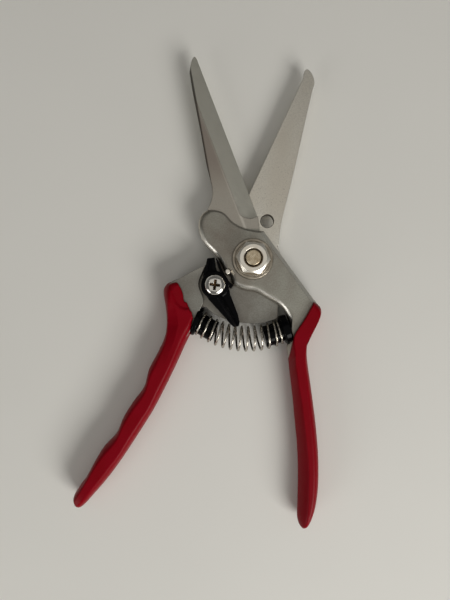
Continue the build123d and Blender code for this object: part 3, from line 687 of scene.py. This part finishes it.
# Each row crosses the tail or the tab: left side, right side, and the heights of bottom, edges and ridge
TAIL_ROWS = [
    ((-19.4, -13.6), (-9.9, -10.0), 10.4, 12.2, 12.7),
    ((-17.9, -16.4), (-9.1, -14.4), 10.8, 12.5, 13.4),
    ((-14.2, -20.5), (-7.4, -18.8), 11.9, 12.7, 13.9),
    ((-11.2, -23.8), (-6.1, -22.2), 11.9, 12.7, 14.0),
    ((-9.0, -26.5), (-5.3, -25.6), 11.9, 12.7, 13.9),
    ((-7.6, -27.6), (-5.6, -27.2), 12.0, 12.7, 13.4),
]
TAB_ROWS = [
    ((-20.1, -9.0), (-13.4, -7.6), 10.4, 12.1, 12.5),
    ((-19.9, -5.2), (-14.5, -4.6), 10.4, 12.0, 12.5),
    ((-19.5, -3.3), (-14.9, -3.0), 10.4, 12.0, 12.5),
    ((-18.9, -2.5), (-15.0, -2.2), 10.4, 12.0, 12.5),
    ((-18.4, 0.1), (-15.4, 0.45), 10.4, 12.0, 12.4),
]
RIDGE_SHARES = (0.0, 0.12, 0.36, 0.46, 0.54, 0.64, 0.88, 1.0)
RIDGE_RISES = (0.0, 0.12, 0.25, 1.0, 1.0, 0.25, 0.12, 0.0)
LEVER_VOXEL = 0.00022
LEVER_SMOOTH_STEPS = 5
LEVER_SMOOTH_FACTOR = 0.5


def lathe(profile, centre, sides=64):
    """Rings of a turned shape from (radius, height) pairs, about an upright axis."""
    turns = 2 * math.pi * np.arange(sides) / sides
    return [
        [(centre[0] + r * math.cos(t), centre[1] + r * math.sin(t), z) for t in turns]
        for r, z in profile
    ]


def ridged_bar(rows):
    """Rings of a bar with a ridge along the middle of its top."""
    rings = []
    for left, right, low, edge, ridge in rows:
        left, right = np.array(left), np.array(right)
        top = [
            (*(left + share * (right - left)), edge + rise * (ridge - edge))
            for share, rise in zip(RIDGE_SHARES, RIDGE_RISES)
        ]
        bottom = [(*(left + share * (right - left)), low) for share in (1.0, 0.5, 0.0)]
        rings.append(top + bottom)
    return rings


def settle(obj):
    """Applies an object's modifiers to its mesh."""
    bpy.context.view_layer.update()
    depsgraph = bpy.context.evaluated_depsgraph_get()
    mesh = bpy.data.meshes.new_from_object(obj.evaluated_get(depsgraph))
    obj.modifiers.clear()
    obj.data = mesh


def latch_lever():
    """The thumb lever, moulded in one piece: its parts are fused and their edges softened."""
    boss = [
        (BOSS_BORE_R, LEVER_LOW),
        (BOSS_R - BOSS_LOW_CHAMFER, LEVER_LOW),
        (BOSS_R, LEVER_LOW + BOSS_LOW_CHAMFER),
        (BOSS_R, BOSS_TOP - BOSS_TOP_CHAMFER),
        (BOSS_R - BOSS_TOP_CHAMFER, BOSS_TOP),
        (BOSS_BORE_R, BOSS_TOP),
    ]
    ring = skin_rings(lathe(boss, LATCH_AXIS), closed=True)
    lever = make_object("latch_lever_moulded", *ring, "black_plastic")
    extra = [
        make_object(name, *skin_rings(ridged_bar(rows)), "black_plastic")
        for name, rows in (("tail", TAIL_ROWS), ("tab", TAB_ROWS))
    ]
    bm = bmesh.new()
    for obj in (lever, *extra):
        bm.from_mesh(obj.data)
    bm.to_mesh(lever.data)
    bm.free()
    for obj in extra:
        bpy.data.objects.remove(obj)
    remesh = lever.modifiers.new("fuse", "REMESH")
    remesh.mode = "VOXEL"
    remesh.voxel_size = LEVER_VOXEL
    smooth = lever.modifiers.new("soften", "SMOOTH")
    smooth.factor = LEVER_SMOOTH_FACTOR
    smooth.iterations = LEVER_SMOOTH_STEPS
    settle(lever)
    lever.data.shade_smooth()
    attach(lever, "latch")
    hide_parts("latch_lever")


def recess_arm(turn_deg):
    """One arm of the screw's cross recess, tapered downwards, as a cutter."""
    ux, uy = math.cos(math.radians(turn_deg)), math.sin(math.radians(turn_deg))
    rings = []
    for z, length, width in RECESS_SIZES:
        rings.append([
            (LATCH_AXIS[0] + a * length / 2 * ux - b * width / 2 * uy,
             LATCH_AXIS[1] + a * length / 2 * uy + b * width / 2 * ux,
             SCREW_TOP + z)
            for a, b in ((1, 1), (-1, 1), (-1, -1), (1, -1))
        ])
    # The cutter's material paints shade onto the faces that it cuts
    return make_object("recess", *skin_rings(rings), "recess_dirt")


def latch_screw():
    """A polished pan-head screw with a tapered cross recess."""
    crown_low = HEAD_LOW + HEAD_RIM
    profile = [
        (SHANK_R - SHANK_CHAMFER, SCREW_LOW),
        (SHANK_R, SCREW_LOW + SHANK_CHAMFER),
        (SHANK_R, HEAD_LOW),
        (HEAD_R - HEAD_EDGE, HEAD_LOW),
        (HEAD_R, HEAD_LOW + HEAD_EDGE),
    ]
    for turn in np.radians(CROWN_DEG):
        height = crown_low + (SCREW_TOP - HEAD_LOW - HEAD_RIM) * math.cos(turn) ** CROWN_POWER
        profile.append((HEAD_R * math.sin(turn), height))
    turned = skin_rings(lathe(profile, LATCH_AXIS, SCREW_SIDES))
    screw = make_object("latch_screw_head", *turned, "screw_steel", SCREW_CREASE_DEG)
    arms = [recess_arm(turn) for turn in (RECESS_TURN_DEG, RECESS_TURN_DEG + 90)]
    for arm in arms:
        cut = screw.modifiers.new("recess", "BOOLEAN")
        cut.operation = "DIFFERENCE"
        cut.object = arm
        cut.solver = "EXACT"
        cut.material_mode = "TRANSFER"
    settle(screw)
    for arm in arms:
        bpy.data.objects.remove(arm)
    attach(screw, "lower")
    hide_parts("latch_screw")


latch_lever()
latch_screw()


# ---------------------------------------------------------------- return spring

# The spring's centre line is an arc in plan from its left to its right seat, and its coils turn with it
SPRING_CENTRE = (-2.1, -1.0)
SPRING_LINE_R = 31.8
SPRING_SEAT_DEG = (231.5, 296.9)
SPRING_FACE_DEG = (248.0, 289.0)
COIL_R = 5.0
WIRE_R = 0.42
TURNS = 12.9
# How many turns lie close together at the left and the right end, and their pitch in wire diameters
END_TURNS = (0.3, 1.2)
CLOSED_PITCH = 1.15
POINTS_PER_TURN = 28
WIRE_SIDES = 10
FLANGE_GAP = 0.6
SPRING_CREASE_DEG = 60


def spring_line(share):
    """The spring's centre line and the angle of its coils in plan, at a share of the way left to right."""
    first, last = SPRING_SEAT_DEG
    margin = math.degrees(FLANGE_GAP / SPRING_LINE_R)
    turn = math.radians(first + margin + share * (last - first - 2 * margin))
    facing = math.radians(SPRING_FACE_DEG[0] + share * (SPRING_FACE_DEG[1] - SPRING_FACE_DEG[0]))
    x, y = SPRING_CENTRE
    return np.array([x + SPRING_LINE_R * math.cos(turn), y + SPRING_LINE_R * math.sin(turn)]), facing


def coil_share(turns):
    """How far along the spring a number of turns has come: the end turns lie close together."""
    first, last = SPRING_SEAT_DEG
    closed = CLOSED_PITCH * 2 * WIRE_R / (SPRING_LINE_R * math.radians(last - first))
    first, last = END_TURNS
    if turns < first:
        return turns * closed
    if turns > TURNS - last:
        return 1 - (TURNS - turns) * closed
    middle = (turns - first) / (TURNS - first - last)
    return first * closed + middle * (1 - (first + last) * closed)


def tube_rings(path, radius, sides):
    """Rings of a round wire along a path whose first step isn't upright."""
    tangents = np.gradient(path, axis=0)
    tangents /= np.linalg.norm(tangents, axis=1, keepdims=True)
    normal = np.cross(tangents[0], UP)
    turns = 2 * math.pi * np.arange(sides) / sides
    rings = []
    for point, tangent in zip(path, tangents):
        normal = normal - tangent * (normal @ tangent)
        normal /= np.linalg.norm(normal)
        binormal = np.cross(tangent, normal)
        rings.append([point + radius * (math.cos(t) * normal + math.sin(t) * binormal) for t in turns])
    return rings


def return_spring():
    """The bowed coil spring, with closed end turns."""
    middle = MID_Z / MM
    path = []
    for step in range(int(TURNS * POINTS_PER_TURN) + 1):
        turns = step / POINTS_PER_TURN
        at, facing = spring_line(coil_share(turns))
        wind = 2 * math.pi * turns
        across = COIL_R * math.cos(wind)
        path.append((
            at[0] + across * math.cos(facing), at[1] + across * math.sin(facing),
            middle + COIL_R * math.sin(wind),
        ))
    vertices, faces = skin_rings(tube_rings(np.array(path), WIRE_R, WIRE_SIDES))
    spring = make_object("return_spring_coils", vertices, faces, "spring_steel", SPRING_CREASE_DEG)
    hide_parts("return_spring")
    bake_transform(spring)


return_spring()


# ---------------------------------------------------------------- stage

# The camera looks straight down
CAMERA_AT = Vector((-11.2, -16.7, 193.0)) * MM
CAMERA_LENS = 27.0
SENSOR_WIDTH = 36.0
CLIP_START = 0.01
FLOOR_HALF = 6.0
FLOOR_Z = -0.0001
# The room's brightness, up to one height on a unit sphere and from another height on
NEAR_HORIZON = (0.15, (0.17, 0.17, 0.164, 1))
OVERHEAD = (0.75, (0.09, 0.087, 0.081, 1))
# Each lamp's place, the point that it faces, its width and height, its power in watts and its colour
LAMPS = {
    "window": ((0.62, -0.84, 0.68), (0, -0.03, 0), (0.68, 0.57), 11.3, (1.0, 0.985, 0.95)),
    "doorway": ((-0.86, -0.82, 0.48), (0, 0, 0), (0.54, 0.54), 2.5, (1.0, 0.99, 0.97)),
    "ceiling": ((0, 0, 1.0), (0, 0, 0), (1.2, 1.2), 1.65, (1.0, 0.97, 0.92)),
}


def make_floor():
    mesh = bpy.data.meshes.new("floor")
    bm = bmesh.new()
    bmesh.ops.create_grid(bm, x_segments=2, y_segments=2, size=FLOOR_HALF)
    bm.to_mesh(mesh)
    bm.free()
    floor = bpy.data.objects.new("floor", mesh)
    floor.location.z = FLOOR_Z
    bpy.context.scene.collection.objects.link(floor)
    s = Shade("floor_paper", Roughness=0.75)
    s.set("Base Color", s.ramp(s.noise(6, 3), [(0.3, (0.76, 0.75, 0.71)), (0.7, (0.79, 0.78, 0.74))]))
    floor.data.materials.append(s.material)


def make_camera():
    data = bpy.data.cameras.new("camera")
    data.lens = CAMERA_LENS
    data.sensor_width = SENSOR_WIDTH
    data.clip_start = CLIP_START
    camera = bpy.data.objects.new("camera", data)
    camera.location = CAMERA_AT
    bpy.context.scene.collection.objects.link(camera)
    bpy.context.scene.camera = camera


def area_light(name, location, target, size, power, colour):
    data = bpy.data.lights.new(name, "AREA")
    data.shape = "RECTANGLE"
    data.size, data.size_y = size
    data.energy = power
    data.color = colour
    lamp = bpy.data.objects.new(name, data)
    lamp.location = location
    lamp.rotation_mode = "QUATERNION"
    lamp.rotation_quaternion = (Vector(target) - Vector(location)).to_track_quat("-Z", "Y")
    bpy.context.scene.collection.objects.link(lamp)


def make_world():
    """A dim room, darker overhead than near the horizon."""
    world = bpy.data.worlds.new("world")
    world.use_nodes = True
    tree = world.node_tree
    background = tree.nodes["Background"]
    coords = tree.nodes.new("ShaderNodeTexCoord").outputs["Generated"]
    split = tree.nodes.new("ShaderNodeSeparateXYZ")
    tree.links.new(coords, split.inputs["Vector"])
    ramp = tree.nodes.new("ShaderNodeValToRGB")
    for element, (position, colour) in zip(ramp.color_ramp.elements, (NEAR_HORIZON, OVERHEAD)):
        element.position = position
        element.color = colour
    tree.links.new(split.outputs["Z"], ramp.inputs["Fac"])
    tree.links.new(ramp.outputs["Color"], background.inputs["Color"])
    background.inputs["Strength"].default_value = 1.0
    bpy.context.scene.world = world


make_floor()
make_camera()
make_world()
for lamp_name, settings in LAMPS.items():
    area_light(lamp_name, *settings)
bpy.context.scene.view_settings.view_transform = "Standard"

bpy.context.view_layer.update()
